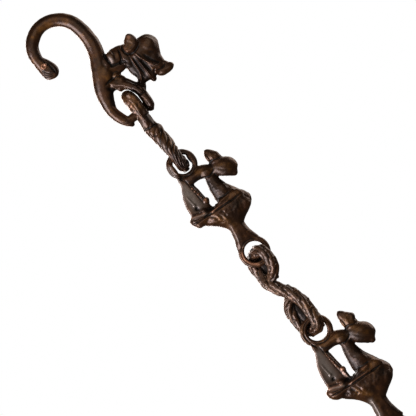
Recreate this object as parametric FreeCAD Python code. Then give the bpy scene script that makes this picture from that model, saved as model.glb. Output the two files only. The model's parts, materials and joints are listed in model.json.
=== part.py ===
import FreeCAD, Part
import math
import os

# A cast bronze hanging chain: a serpent hook, a rope link, a seated figure link, a second rope link
# and a second figure link. Every link is one casting and hangs loose in the one above it.
# Lengths are millimetres, +Z is up, and the castings lie about the XZ plane.
# Outlines are drawn about the centre of the upper figure's ring. Every shape is then moved so that
# the origin is the saddle, the highest point of the crook's inner face, on which the chain hangs.

os.makedirs("parts", exist_ok=True)

SADDLE = FreeCAD.Vector(-16.5, 0.0, 131.0)
DEPTH = FreeCAD.Vector(0.0, 1.0, 0.0)
UP = FreeCAD.Vector(0.0, 0.0, 1.0)
ACROSS = FreeCAD.Vector(1.0, 0.0, 0.0)

# links and their fits
BAR_RADIUS = 3.1            # bar that closes the hook's lower eye
BAR_X, BAR_Z = -1.8, 45.6   # middle of that bar, where the upper rope link hangs
SLOT_HALF = 3.8             # half width of the upper rope link's upper slot
LOW_SLOT_HALF = 3.5         # half width of its lower slot, round the figure's ring
RING_HOLE = 7.0             # hole radius of a figure's ring
RING_WIRE = 1.95            # wire radius of that ring
EYE_HOLE = 7.5              # hole radius of a figure's lower eye
EYE_WIRE = 2.05             # wire radius of that eye
UPPER_RING = (-0.8, -1.4)   # centres of the two figures' rings
LOWER_RING = (1.8, -151.0)
EYE_OFFSET = (2.1, -79.3)   # a figure's lower eye from its ring
LOWER_REACH = 1.19          # the lower figure is drawn out by this below its bridge
LOWER_BREADTH = 1.06        # and is broader by this
LOWER_CAP_RISE = 3.0        # its cap stands this much taller
BRIDGE_LEVEL = -17.0        # level under the ring from which a figure is drawn out
HAIRLINE = 0.02             # gap where two lengths of the lower rope link meet end to end
SMALLEST_SOLID = 1.0        # shavings under this volume are dropped


def section(centre, along, side, half_side, half_across):
    """A closed oval wire square to a direction."""
    u = side - along * side.dot(along)
    u.normalize()
    v = along.cross(u)
    points = []
    for step in range(8):
        angle = math.pi * step / 4.0
        points.append(centre + u * (half_side * math.cos(angle)) + v * (half_across * math.sin(angle)))
    curve = Part.BSplineCurve()
    curve.interpolate(Points=points, PeriodicFlag=True)
    return Part.Wire([curve.toShape()])


def smoothed(stations):
    """The stations with one more halfway along each span, on a smooth curve through them."""
    padded = [stations[0]] + list(stations) + [stations[-1]]
    finer = []
    for i in range(1, len(padded) - 2):
        finer.append(padded[i])
        pairs = zip(padded[i - 1], padded[i], padded[i + 1], padded[i + 2])
        finer.append(tuple((9.0 * (b + c) - a - d) / 16.0 for a, b, c, d in pairs))
    finer.append(stations[-1])
    return finer


def rod(stations, side=DEPTH, first=None, last=None, level=False):
    """A round bar. A station is (x, y, z, half width along side, half width across it).

    first and last fix the direction at its ends, and level keeps every section level.
    """
    finer = smoothed(stations)
    centres = [FreeCAD.Vector(s[0], s[1], s[2]) for s in finer]
    directions = []
    for i in range(len(finer)):
        along = centres[min(i + 1, len(centres) - 1)] - centres[max(i - 1, 0)]
        directions.append(UP if level else along.normalize())
    directions[0] = first or directions[0]
    directions[-1] = last or directions[-1]
    wires = [section(c, d, side, s[3], s[4]) for c, d, s in zip(centres, directions, finer)]
    return Part.makeLoft(wires, True, True)


def lowered(station, fall):
    return station[:2] + (station[2] - fall,) + station[3:]


def flat_rod(stations):
    """A bar lying in the XZ plane. A station is (x, z, half width in plane, half depth)."""
    return rod([(x, 0.0, z, depth, width) for x, z, width, depth in stations])


def stack(stations):
    """A body built of level ovals. A station is (z, middle x, half width, half depth)."""
    return rod([(x, 0.0, z, depth, width) for z, x, width, depth in stations], level=True)


def plate(outline, depth, corner):
    """A flat body with the given XZ outline, centred on the XZ plane, its long edges rounded."""
    points = [FreeCAD.Vector(x, -depth / 2.0, z) for x, z in outline]
    body = Part.Face(Part.makePolygon(points + points[:1])).extrude(DEPTH * depth)
    edges = [e for e in body.Edges if abs(e.Vertexes[0].Y - e.Vertexes[1].Y) < 0.01]
    return body.makeFillet(corner, edges)


def ring(x, z, hole, wire):
    """A ring of round wire whose inner face is trimmed to a short true bore."""
    torus = Part.makeTorus(hole + wire - 0.3, wire, FreeCAD.Vector(x, 0.0, z), DEPTH)
    return torus.cut(bore(x, z, hole))


def bore(x, z, radius):
    """The space inside a ring, through the whole depth."""
    return Part.makeCylinder(radius, 40.0, FreeCAD.Vector(x, -20.0, z), DEPTH)


def slot(x, top, bottom, half):
    """A round-ended slot through a link along X. top and bottom are the centres of its ends."""
    start = FreeCAD.Vector(x - 20.0, 0.0, top)
    ends = Part.makeCylinder(half, 40.0, start, ACROSS)
    ends = ends.fuse(Part.makeCylinder(half, 40.0, start - UP * (top - bottom), ACROSS))
    middle = Part.makeBox(40.0, 2.0 * half, top - bottom, FreeCAD.Vector(x - 20.0, -half, bottom))
    return ends.fuse(middle)


def ball(x, y, z, radius):
    return Part.makeSphere(radius, FreeCAD.Vector(x, y, z))


def pared(solids, other):
    """The solids without the space that another shape takes up."""
    left = []
    for solid in solids:
        if solid.BoundBox.intersect(other.BoundBox):
            rest = solid.cut(other)
            left += [] if rest.isNull() else rest.Solids
        else:
            left.append(solid)
    return left


def carve(pieces, finished=(), space=None):
    """Cuts each piece by the ones before it, so the features of one casting meet face to face."""
    done = dict(finished)
    for name, shape in pieces:
        solids = shape.Solids
        if space is not None:
            solids = pared(solids, space)
        for other in done.values():
            solids = pared(solids, other)
        done[name] = Part.makeCompound([s for s in solids if s.Volume > SMALLEST_SOLID])
    return done


def hook():
    """The S hook: serpent head, crook, tail, beast, and the closed eye under the beast's foreleg."""
    crook = flat_rod([
        (-36.2, 117.5, 4.0, 4.0), (-35.4, 123.0, 4.4, 4.3), (-33.2, 128.0, 4.5, 4.4),
        (-29.2, 131.9, 4.6, 4.5), (-23.7, 134.9, 4.6, 4.5), (-17.3, 135.7, 4.5, 4.5),
        (-10.8, 134.0, 4.6, 4.6), (-4.4, 129.5, 4.7, 4.7), (-0.4, 123.3, 4.9, 4.9),
        (1.2, 116.8, 5.0, 5.0), (1.8, 110.0, 5.2, 5.2), (1.2, 102.5, 5.5, 5.4),
        (-1.0, 95.5, 5.5, 5.6), (-4.3, 88.0, 6.3, 6.0), (-8.3, 80.0, 6.9, 6.0),
        (-12.6, 72.5, 6.3, 5.4), (-15.3, 65.0, 5.0, 4.8), (-16.9, 57.5, 3.9, 4.2),
        (-15.1, 50.3, 3.7, 3.6), (-12.8, 45.5, 3.0, 3.0), (-11.2, 42.0, 1.7, 1.8), (-10.8, 40.6, 0.6, 0.7)])
    serpent = flat_rod([
        (-36.2, 117.5, 4.0, 4.0), (-35.0, 112.0, 5.2, 4.5), (-34.1, 107.5, 6.1, 4.8),
        (-33.3, 104.3, 5.6, 4.4), (-32.9, 102.2, 3.8, 3.2), (-32.8, 101.0, 1.5, 1.4)])
    eyes = []
    for face in (-1.0, 1.0):
        centre = FreeCAD.Vector(-34.9, face * 4.3, 111.9)
        eyes.append(Part.makeTorus(1.5, 0.8, centre, DEPTH))
    neck = flat_rod([
        (-4.0, 84.0, 7.0, 4.8), (3.0, 84.0, 7.4, 5.2), (9.0, 84.8, 8.2, 5.6),
        (14.0, 84.0, 7.6, 5.6), (19.0, 83.0, 6.5, 5.4)])
    head = stack([
        (87.2, 28.5, 3.0, 2.6), (86.3, 29.0, 6.0, 4.4), (82.5, 27.0, 11.3, 6.3), (78.0, 25.2, 13.8, 6.9),
        (72.5, 24.2, 12.2, 6.4), (67.0, 23.3, 11.3, 5.6), (62.5, 23.2, 10.8, 4.6), (59.8, 24.6, 9.2, 3.6)])
    strap = flat_rod([
        (14.0, 78.5, 2.6, 4.6), (13.6, 70.0, 2.2, 4.2), (13.0, 63.5, 2.3, 3.8), (10.5, 58.5, 2.8, 3.6),
        (8.0, 55.5, 2.6, 3.4)])
    lips = flat_rod([
        (25.0, 61.5, 2.4, 3.0), (28.5, 58.6, 2.9, 3.6), (32.5, 57.8, 2.8, 3.6), (35.5, 58.0, 2.2, 2.8),
        (37.6, 58.7, 0.9, 1.2)])
    jaw = flat_rod([(20.4, 62.5, 2.6, 3.0), (20.5, 59.0, 2.1, 2.4), (20.6, 56.6, 0.9, 1.2)])
    ears = []
    lobe = [(24.2, 94.0), (27.6, 91.0), (26.2, 84.0), (21.0, 82.0), (16.4, 84.0), (18.2, 88.5)]
    for face in (-1.0, 1.0):
        ear = plate(lobe, 3.6, 1.2)
        ear.translate(DEPTH * (face * 5.6))
        ears.append(ear)
    foreleg = flat_rod([
        (-5.5, 72.8, 5.0, 4.6), (0.6, 69.2, 4.5, 4.4), (5.4, 63.6, 3.5, 4.0), (7.4, 57.5, 3.4, 3.9),
        (7.4, 51.5, 3.3, 3.9), (6.8, 46.5, 3.0, 3.8), (6.3, 43.2, 2.4, 3.4), (6.0, 41.2, 1.2, 1.8)])
    bar = flat_rod([
        (-14.0, BAR_Z, 2.6, 2.6), (-9.5, BAR_Z, 2.8, 2.8), (-6.5, BAR_Z, BAR_RADIUS, BAR_RADIUS),
        (BAR_X, BAR_Z, BAR_RADIUS, BAR_RADIUS), (3.0, BAR_Z, BAR_RADIUS, BAR_RADIUS),
        (7.0, BAR_Z, 2.9, 3.0)])
    return carve([
        ("hook_crook", crook),
        ("hook_serpent_head", serpent),
        ("hook_serpent_eyes", Part.makeCompound(eyes)),
        ("hook_beast_neck", neck),
        ("hook_beast_head", head),
        ("hook_beast_lips", lips),
        ("hook_beast_jaw", jaw),
        ("hook_beast_ears", Part.makeCompound(ears)),
        ("hook_foreleg", foreleg),
        ("hook_beast_strap", strap),
        ("hook_eye_bar", bar)])


def upper_rope_link():
    """A straight link with a slot at each end, both seen edge on from the front."""
    low_x, low_z = UPPER_RING[0], UPPER_RING[1] + RING_HOLE + RING_WIRE - 0.3
    upper = stack([
        (63.2, -3.0, 1.2, 2.0), (62.4, -2.9, 2.6, 4.8), (60.2, -2.4, 4.1, 7.8), (56.5, -1.8, 4.9, 10.0),
        (51.5, -1.7, 5.1, 11.0), (46.0, -1.8, 5.0, 10.8), (41.0, -2.1, 4.7, 9.4), (36.0, -2.6, 4.8, 7.2),
        (31.5, -2.3, 5.2, 6.0)])
    shank = stack([
        (31.5, -1.8, 5.7, 6.2), (28.5, -1.4, 5.5, 6.0), (24.5, -1.3, 5.0, 6.4), (20.0, -0.8, 4.9, 7.6)])
    lower = stack([
        (20.0, -0.8, 4.9, 7.6), (14.0, -0.7, 4.8, 9.6), (8.0, -0.7, 4.7, 10.6), (2.5, -0.8, 4.6, 10.4),
        (-2.0, -0.9, 4.5, 9.0), (-5.2, -0.8, 3.8, 6.4), (-6.8, -0.7, 2.6, 3.6), (-7.4, -0.7, 1.2, 1.6)])
    upper = upper.cut(slot(BAR_X, BAR_Z, BAR_Z - 2.2, SLOT_HALF))
    lower = lower.cut(slot(low_x, low_z + 4.5, low_z - 1.1, LOW_SLOT_HALF))
    return carve([
        ("upper_link_top_loop", upper),
        ("upper_link_shank", shank),
        ("upper_link_bottom_loop", lower)])


def lower_rope_link():
    """One rope bent into an upper and a lower loop, both its ends tucked against its middle."""
    # both loops run from the front right to the back left
    turn = FreeCAD.Vector(0.8, 0.6, 0.0)
    right_top = (6.6, -7.2, -89.0, 4.3, 4.3)
    left_top = (-5.0, 7.2, -89.0, 4.3, 4.3)
    right_bottom = (6.3, -7.2, -141.5, 4.3, 4.3)
    left_bottom = (-4.8, 7.2, -141.5, 4.3, 4.3)
    top = rod([
        right_top, (6.3, -6.9, -85.0, 4.2, 4.4), (4.9, -4.5, -82.2, 4.1, 4.8),
        (2.2, -0.4, -81.7, 4.0, 5.1), (-1.0, 4.2, -83.0, 4.0, 4.7), (-3.8, 7.0, -85.8, 4.2, 4.4),
        left_top], turn, UP, -UP)
    bottom = rod([
        right_bottom, (5.9, -6.9, -146.0, 4.2, 4.4), (4.3, -4.7, -148.8, 4.1, 4.8),
        (1.6, 0.0, -149.6, 4.1, 5.1), (-1.4, 4.8, -148.8, 4.1, 4.8), (-4.0, 7.0, -146.0, 4.2, 4.4),
        left_bottom], turn, -UP, UP)
    middle = rod([
        lowered(left_top, HAIRLINE), (-5.2, 6.6, -95.0, 4.4, 4.4), (-5.0, 4.2, -101.0, 4.4, 4.6),
        (-4.2, 0.6, -106.3, 4.6, 4.7), (-1.4, -1.6, -111.5, 4.6, 4.7), (2.2, -3.6, -117.0, 4.5, 4.7),
        (5.0, -5.6, -122.5, 4.4, 4.8), (6.4, -7.0, -129.0, 4.4, 4.8), (6.7, -7.2, -135.0, 4.4, 4.7),
        lowered(right_bottom, -HAIRLINE)], turn, -UP, -UP)
    upper_end = rod([
        lowered(right_top, HAIRLINE), (6.0, -6.9, -93.5, 4.3, 4.3), (4.5, -5.5, -97.8, 4.2, 4.2),
        (1.2, -2.4, -101.6, 3.7, 3.7), (-2.8, 1.2, -103.8, 2.8, 2.8)], turn, -UP)
    lower_end = rod([
        lowered(left_bottom, -HAIRLINE), (-4.9, 7.3, -134.5, 4.4, 4.3), (-3.9, 6.4, -128.5, 4.3, 4.2),
        (-1.4, 4.0, -123.4, 3.9, 3.9), (2.4, -1.2, -119.8, 2.9, 2.9)], turn, UP)
    return carve([
        ("lower_link_top_bend", top),
        ("lower_link_bottom_bend", bottom),
        ("lower_link_upper_end", upper_end),
        ("lower_link_lower_end", lower_end),
        ("lower_link_middle", middle)])


def figure_link(prefix, centre, breadth, reach, cap_rise):
    """A figure seated against a tapered panel, between a ring above and an eye below."""
    cx, cz = centre

    def lay(x, z):
        drawn = z if z > BRIDGE_LEVEL else BRIDGE_LEVEL + (z - BRIDGE_LEVEL) * reach
        return cx + x * breadth, cz + drawn

    def level(z, x, width, depth):
        px, pz = lay(x, z)
        return pz, px, width * breadth, depth

    def joint(x, z, width, depth):
        px, pz = lay(x, z)
        return px, pz, width * breadth, depth

    eye_x = cx + EYE_OFFSET[0]
    eye_z = lay(*EYE_OFFSET)[1]
    ring_hole = RING_HOLE * breadth
    top_ring = ring(cx, cz, ring_hole, RING_WIRE * breadth)
    low_eye = ring(eye_x, eye_z, EYE_HOLE, EYE_WIRE)
    bridge = flat_rod([
        joint(-8.0, -9.0, 2.8, 2.6), joint(-4.0, -11.6, 3.8, 3.8), joint(2.6, -11.4, 4.4, 4.2),
        joint(8.4, -12.9, 4.7, 4.6), joint(12.6, -15.4, 4.3, 4.6), joint(16.0, -17.2, 3.6, 4.4)])
    cap = flat_rod([
        joint(20.4, -13.0, 5.0, 5.0), joint(20.0, -9.4, 4.7, 4.4),
        joint(19.2, -6.0 + 0.5 * cap_rise, 3.6, 3.4), joint(18.2, -3.2 + cap_rise, 2.2, 2.2),
        joint(17.6, -2.0 + cap_rise, 0.9, 1.0)])
    head = flat_rod([
        joint(15.4, -13.6, 2.6, 3.0), joint(17.4, -15.4, 5.6, 5.4), joint(20.6, -18.6, 7.2, 6.6),
        joint(24.4, -21.6, 7.4, 6.2), joint(27.2, -24.2, 5.4, 4.4), joint(28.6, -25.6, 2.6, 2.2)])
    chin = [lay(14.4, -21.4), lay(25.4, -29.8), lay(25.4, -48.0), lay(6.0, -48.0)]
    below = [FreeCAD.Vector(x, -20.0, z) for x, z in chin]
    head = head.cut(Part.Face(Part.makePolygon(below + below[:1])).extrude(DEPTH * 40.0))
    torso = stack([
        level(-15.0, 10.4, 3.2, 3.8), level(-19.6, 9.8, 4.0, 4.6), level(-25.6, 9.4, 5.4, 5.6),
        level(-30.6, 9.9, 6.7, 6.4), level(-34.6, 10.8, 8.2, 7.0), level(-38.4, 11.2, 9.6, 7.4)])
    legs = stack([
        level(-36.4, 6.0, 9.5, 5.5), level(-38.2, 5.4, 15.0, 7.6), level(-41.0, 3.9, 18.8, 8.4),
        level(-44.8, 5.8, 18.7, 8.7), level(-48.6, 7.6, 15.9, 8.2), level(-52.1, 7.4, 12.4, 6.8),
        level(-54.8, 5.6, 8.8, 5.4), level(-57.2, 3.9, 6.4, 4.6)])
    shank = stack([
        level(-55.4, 4.6, 5.2, 3.6), level(-57.6, 3.6, 5.9, 4.2), level(-60.8, 3.0, 6.1, 4.2),
        level(-64.8, 2.7, 6.7, 3.8), level(-68.4, 2.3, 8.0, 3.2), level(-72.4, 2.2, 9.4, 2.4)])
    outline = [
        lay(-9.6, -6.0), lay(-6.4, -9.0), lay(-4.4, -15.4), lay(-3.2, -24.0), lay(-2.0, -35.6),
        lay(-17.8, -35.6), lay(-16.7, -25.6), lay(-14.7, -19.6), lay(-10.4, -12.0)]
    panel = plate(outline, 7.0, 1.0)
    beads = []
    for step in range(4):
        bx, bz = lay(-4.9 + 0.35 * step, -17.6 - 3.0 * step)
        beads.append(ball(bx, -3.6, bz, 1.2))
    bx, bz = lay(-2.6, -30.1)
    beads.append(ball(bx, -2.6, bz, 2.6))
    foot = flat_rod([
        joint(-20.2, -34.8, 1.0, 2.4), joint(-18.8, -36.2, 3.4, 5.2), joint(-15.2, -38.2, 5.2, 6.6),
        joint(-9.6, -39.2, 4.6, 6.8), joint(-4.0, -39.6, 3.6, 6.0)])
    space = bore(cx, cz, ring_hole).fuse(bore(eye_x, eye_z, EYE_HOLE))
    rings = [(prefix + "_ring", top_ring), (prefix + "_eye", low_eye)]
    return carve([
        (prefix + "_bridge", bridge),
        (prefix + "_panel", panel),
        (prefix + "_legs", legs),
        (prefix + "_torso", torso),
        (prefix + "_head", head),
        (prefix + "_cap", cap),
        (prefix + "_foot", foot),
        (prefix + "_shank", shank),
        (prefix + "_beads", Part.makeCompound(beads))], rings, space)


def write(nodes):
    for name, shape in nodes.items():
        shape.translate(-SADDLE)
        shape.exportStep("parts/" + name + ".step")
        box = shape.BoundBox
        print(name, len(shape.Solids), shape.isValid(), round(shape.Volume, 1),
              [round(v, 1) for v in (box.XMin, box.XMax, box.YMin, box.YMax, box.ZMin, box.ZMax)])


write(hook())
write(upper_rope_link())
write(figure_link("upper_figure", UPPER_RING, 1.0, 1.0, 0.0))
write(lower_rope_link())
write(figure_link("lower_figure", LOWER_RING, LOWER_BREADTH, LOWER_REACH, LOWER_CAP_RISE))
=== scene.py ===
import json
import math

import bpy
import numpy as np
from mathutils import Matrix, Vector


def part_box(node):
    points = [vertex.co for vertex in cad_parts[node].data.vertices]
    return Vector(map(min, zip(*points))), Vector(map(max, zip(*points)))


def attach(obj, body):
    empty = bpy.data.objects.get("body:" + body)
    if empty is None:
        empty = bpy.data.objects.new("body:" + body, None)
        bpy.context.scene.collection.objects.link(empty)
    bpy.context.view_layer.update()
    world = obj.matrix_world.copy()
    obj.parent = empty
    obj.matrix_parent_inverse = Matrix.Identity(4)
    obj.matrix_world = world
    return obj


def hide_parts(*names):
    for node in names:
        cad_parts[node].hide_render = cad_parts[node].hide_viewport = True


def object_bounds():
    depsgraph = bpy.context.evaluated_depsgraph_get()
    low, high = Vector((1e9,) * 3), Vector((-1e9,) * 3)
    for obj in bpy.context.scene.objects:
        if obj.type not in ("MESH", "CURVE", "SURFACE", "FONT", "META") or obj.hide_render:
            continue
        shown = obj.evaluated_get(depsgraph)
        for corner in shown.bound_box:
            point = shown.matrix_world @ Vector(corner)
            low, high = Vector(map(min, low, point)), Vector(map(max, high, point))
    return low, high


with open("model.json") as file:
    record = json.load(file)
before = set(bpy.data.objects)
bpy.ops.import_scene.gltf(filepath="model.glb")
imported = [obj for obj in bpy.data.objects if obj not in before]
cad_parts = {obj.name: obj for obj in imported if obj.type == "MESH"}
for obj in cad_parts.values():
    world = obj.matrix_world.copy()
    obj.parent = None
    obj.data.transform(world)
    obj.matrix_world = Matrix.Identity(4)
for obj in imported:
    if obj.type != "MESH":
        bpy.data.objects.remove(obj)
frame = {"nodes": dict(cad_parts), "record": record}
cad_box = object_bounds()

# An old cast bronze hanging chain. Each casting is one sculpted mesh: its CAD nodes and some added
# clay are fused, smoothed, and then worked with grooves, ridges and hollows. Only the lower rope link
# is wound from strands, in the place of its CAD nodes.
# Sculpting is done in outline millimetres, drawn about the same point as the CAD's outlines.

MM = 0.001
UPPER_RING = (-0.8, -1.4)      # the upper figure's ring in outline millimetres
EYE_OFFSET = (2.1, -79.3)      # a figure's lower eye from its ring, before it is drawn out
BRIDGE_LEVEL = -17.0           # level under the ring from which a figure is drawn out
LOWER_REACH = 1.19             # the lower figure is drawn out by this
LOWER_BREADTH = 1.06           # and is broader by this
DEPTH = (0.0, 1.0, 0.0)        # the direction from the front to the back


def middle(node):
    low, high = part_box(node)
    return (low + high) / 2.0


ORIGIN = middle("upper_figure_ring") - Vector((UPPER_RING[0], 0.0, UPPER_RING[1])) * MM


# ---- curves and tubes -------------------------------------------------------------------------

def eased(rows, steps=6):
    """More rows on a smooth curve through the given ones. A row is any numbers, as x, y, z, radius."""
    rows = np.array(rows, float)
    padded = np.vstack([2.0 * rows[0] - rows[1], rows, 2.0 * rows[-1] - rows[-2]])
    out = []
    for i in range(1, len(padded) - 2):
        a, b, c, d = padded[i - 1], padded[i], padded[i + 1], padded[i + 2]
        for t in np.arange(steps) / steps:
            out.append(0.5 * (2 * b + (c - a) * t + (2 * a - 5 * b + 4 * c - d) * t ** 2
                              + (3 * b - a - 3 * c + d) * t ** 3))
    out.append(rows[-1])
    return np.array(out)


def frames(centres, side):
    """Two directions square to a curve and to each other, carried along it without twist."""
    along = np.gradient(centres, axis=0)
    along /= np.linalg.norm(along, axis=1)[:, None]
    u = np.array(side, float)
    across = []
    for t in along:
        u = u - t * u.dot(t)
        u /= np.linalg.norm(u)
        across.append(u)
    across = np.array(across)
    return across, np.cross(along, across)


def travelled(centres):
    """Length along a curve up to each of its points."""
    steps = np.linalg.norm(np.diff(centres, axis=0), axis=1)
    return np.concatenate([[0.0], np.cumsum(steps)])


def tube(rows, sides=12):
    """A closed tube. A row is x, y, z, radius."""
    rows = np.array(rows, float)
    centres = rows[:, :3]
    u, v = frames(centres, DEPTH)
    angles = np.arange(sides) * 2.0 * math.pi / sides
    ring = np.cos(angles)[None, :, None] * u[:, None] + np.sin(angles)[None, :, None] * v[:, None]
    verts = (centres[:, None] + ring * rows[:, 3][:, None, None]).reshape(-1, 3)
    faces = []
    for i in range(len(rows) - 1):
        for k in range(sides):
            n = (k + 1) % sides
            faces.append((i * sides + k, i * sides + n, (i + 1) * sides + n, (i + 1) * sides + k))
    faces.append(tuple(reversed(range(sides))))
    last = (len(rows) - 1) * sides
    faces.append(tuple(range(last, last + sides)))
    return verts, faces


LUMP_RINGS = 13
LUMP_SIDES = 16
ARC_STEPS = 16


def lump(x, y, z, rx, ry, rz, lean=0.0):
    """An egg of clay, leaning by lean degrees in the XZ plane."""
    t = np.linspace(-1.0, 1.0, LUMP_RINGS)
    heights = np.sin(t * math.pi / 2.0)
    radii = np.maximum(np.sqrt(1.0 - heights ** 2), 0.02)
    verts, faces = tube(np.column_stack([0 * t, 0 * t, heights, radii]), LUMP_SIDES)
    verts = verts * (rx, ry, rz)
    turn = math.radians(lean)
    rolled = np.column_stack([
        verts[:, 0] * math.cos(turn) + verts[:, 2] * math.sin(turn), verts[:, 1],
        verts[:, 2] * math.cos(turn) - verts[:, 0] * math.sin(turn)])
    return rolled + (x, y, z), faces


def both_faces(x, y, z, rx, ry, rz, lean=0.0):
    """The same egg in front of the middle plane and behind it."""
    return [lump(x, y, z, rx, ry, rz, lean), lump(x, -y, z, rx, ry, rz, lean)]


def arc(cx, cz, radius, start, end, thick):
    """A bent sausage of clay round a point in the XZ plane. Angles are degrees from +X towards +Z."""
    angles = np.radians(np.linspace(start, end, ARC_STEPS))
    swell = 0.55 + 0.45 * np.sin(np.linspace(0.0, math.pi, ARC_STEPS)) ** 0.5
    return tube(np.column_stack([
        cx + radius * np.cos(angles), np.zeros(ARC_STEPS), cz + radius * np.sin(angles), thick * swell]))


# ---- noise ------------------------------------------------------------------------------------

GRID_PRIMES = np.array([73856093, 19349663, 83492791])      # these scatter the numbers of a grid point
SEED_PRIME = 2654435761
SEED_SHIFT = 17.31


def grain(points, size, seed):
    """Smooth noise between -1 and 1 with features of about size."""
    p = points / size + seed * SEED_SHIFT
    base = np.floor(p).astype(np.int64)
    f = p - base
    f = f * f * (3.0 - 2.0 * f)
    total = np.zeros(len(points))
    for corner in range(8):
        o = np.array([corner & 1, corner >> 1 & 1, corner >> 2 & 1])
        x, y, z = ((base + o) * GRID_PRIMES).T
        mixed = (x ^ y ^ z ^ seed * SEED_PRIME) & 0xFFFFFF
        mixed = (mixed * 1103515245 + 12345) >> 7 & 0xFFFF
        weight = np.prod(np.where(o, f, 1.0 - f), axis=1)
        total += weight * (mixed / 32767.5 - 1.0)
    return total


# ---- clay -------------------------------------------------------------------------------------

# The paints lay painted shade, painted sheen, rubbed copper with painted glints, and ochre dust.
PAINTS = ("copper", "ochre", "pale", "soot")
SPOT = 0.01            # length of the line that stands for a single point of paint
CLOSE_ROUNDS = 5       # rounds of smoothing that close relief stands out of
BROAD_ROUNDS = 50      # and those that broad relief stands out of


class Clay:
    """A casting while it is sculpted, in outline millimetres."""

    def __init__(self):
        self.verts = np.zeros((0, 3))
        self.edges = np.zeros((0, 2), np.int64)
        self.faces = []

    def add(self, parts):
        """Adds closed shapes. They are only fused later."""
        for verts, faces in parts:
            start = len(self.verts)
            self.verts = np.vstack([self.verts, verts])
            self.faces += [tuple(start + k for k in face) for face in faces]

    def add_nodes(self, names):
        """Adds copies of CAD nodes."""
        for name in names:
            mesh = frame["nodes"][name].data
            verts = np.zeros(len(mesh.vertices) * 3)
            mesh.vertices.foreach_get("co", verts)
            verts = (verts.reshape(-1, 3) - np.array(ORIGIN)) / MM
            self.add([(verts, [tuple(p.vertices) for p in mesh.polygons])])

    def through(self, kind, **settings):
        """Runs the surface through one modifier."""
        mesh = bpy.data.meshes.new("clay")
        mesh.from_pydata(self.verts.tolist(), [], self.faces)
        obj = bpy.data.objects.new("clay", mesh)
        bpy.context.scene.collection.objects.link(obj)
        modifier = obj.modifiers.new(kind, kind)
        for key, value in settings.items():
            setattr(modifier, key, value)
        made = obj.evaluated_get(bpy.context.evaluated_depsgraph_get())
        result = bpy.data.meshes.new_from_object(made)
        bpy.data.objects.remove(obj)
        self.take(result)
        bpy.data.meshes.remove(result)
        bpy.data.meshes.remove(mesh)

    def take(self, mesh):
        """Reads a mesh of quads back into arrays."""
        verts = np.zeros(len(mesh.vertices) * 3)
        mesh.vertices.foreach_get("co", verts)
        self.verts = verts.reshape(-1, 3)
        edges = np.zeros(len(mesh.edges) * 2, np.int64)
        mesh.edges.foreach_get("vertices", edges)
        self.edges = edges.reshape(-1, 2)
        corners = np.zeros(len(mesh.loops), np.int64)
        mesh.loops.foreach_get("vertex_index", corners)
        self.faces = corners.reshape(-1, 4).tolist()

    def averaged(self, values):
        """Each vertex's mean over its neighbours."""
        a, b = self.edges.T
        n = len(self.verts)
        count = np.bincount(a, minlength=n) + np.bincount(b, minlength=n)
        count = np.maximum(count, 1)
        out = np.empty_like(values)
        for k in range(values.shape[1]):
            out[:, k] = np.bincount(a, values[b, k], n) + np.bincount(b, values[a, k], n)
        return out / count[:, None]

    def soften(self, rounds):
        """Smooths the surface without shrinking it."""
        for _ in range(rounds):
            for pull in (0.5, -0.52):
                self.verts = self.verts + pull * (self.averaged(self.verts) - self.verts)

    def fuse(self, voxel, rounds, finer=False, swell=0.12):
        """Makes one skin round all that was added."""
        self.through("REMESH", mode="VOXEL", voxel_size=voxel)
        self.soften(rounds)
        self.push(np.full(len(self.verts), swell))
        if finer:
            self.through("SUBSURF", levels=1, render_levels=1)

    def normals(self):
        """Each vertex's outward direction."""
        quads = np.array(self.faces)
        p = self.verts
        face = np.cross(p[quads[:, 2]] - p[quads[:, 0]], p[quads[:, 3]] - p[quads[:, 1]])
        out = np.zeros_like(p)
        for k in range(3):
            for corner in range(4):
                out[:, k] += np.bincount(quads[:, corner], face[:, k], len(p))
        return out / np.maximum(np.linalg.norm(out, axis=1), 1e-9)[:, None]

    def push(self, amount):
        """Moves every vertex along its normal by its own amount."""
        self.verts = self.verts + self.normals() * amount[:, None]

    def away(self, points):
        """Distance of every vertex from a line of x, z points, seen from the front, and place along it."""
        line = np.array(points, float)
        p = self.verts[:, [0, 2]]
        best = np.full(len(p), 1e9)
        place = np.zeros(len(p))
        for i in range(len(line) - 1):
            step = line[i + 1] - line[i]
            t = np.clip((p - line[i]).dot(step) / step.dot(step), 0.0, 1.0)
            d = np.linalg.norm(p - line[i] - t[:, None] * step, axis=1)
            nearer = d < best
            best[nearer] = d[nearer]
            place[nearer] = (i + t[nearer]) / (len(line) - 1)
        return best, place

    def line(self, points, width, height, curve=True, only=1.0):
        """A ridge, or a groove if height is negative, along a line seen from the front and the back.

        A factor for each vertex, called only, can keep it to a part of the surface.
        """
        points = eased(points, 5) if curve and len(points) > 2 else points
        away, place = self.away(points)
        ends = 0.35 + 0.65 * np.clip(np.minimum(place, 1.0 - place) * 6.0, 0.0, 1.0)
        self.push(height * np.exp(-(away / width) ** 2) * ends * only)

    def dent(self, x, z, radius, height):
        """A hollow, or a swelling if height is positive, at a place seen from the front and the back."""
        away = np.hypot(self.verts[:, 0] - x, self.verts[:, 2] - z)
        self.push(height * np.exp(-(away / radius) ** 2))

    def roughen(self, sizes, seed):
        """Casting unevenness. sizes are pairs of feature size and height."""
        amount = np.zeros(len(self.verts))
        for k, (size, height) in enumerate(sizes):
            amount += height * grain(self.verts, size, seed + k)
        self.push(amount)

    def relief(self):
        """How far each vertex stands out of its surroundings: closely, and over a wider stretch."""
        n = self.normals()
        near = self.verts
        for _ in range(CLOSE_ROUNDS):
            near = self.averaged(near)
        wide = near
        for _ in range(BROAD_ROUNDS - CLOSE_ROUNDS):
            wide = self.averaged(wide)
        close = np.einsum("ij,ij->i", n, self.verts - near)
        broad = np.einsum("ij,ij->i", n, self.verts - wide)
        return close, broad

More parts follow.
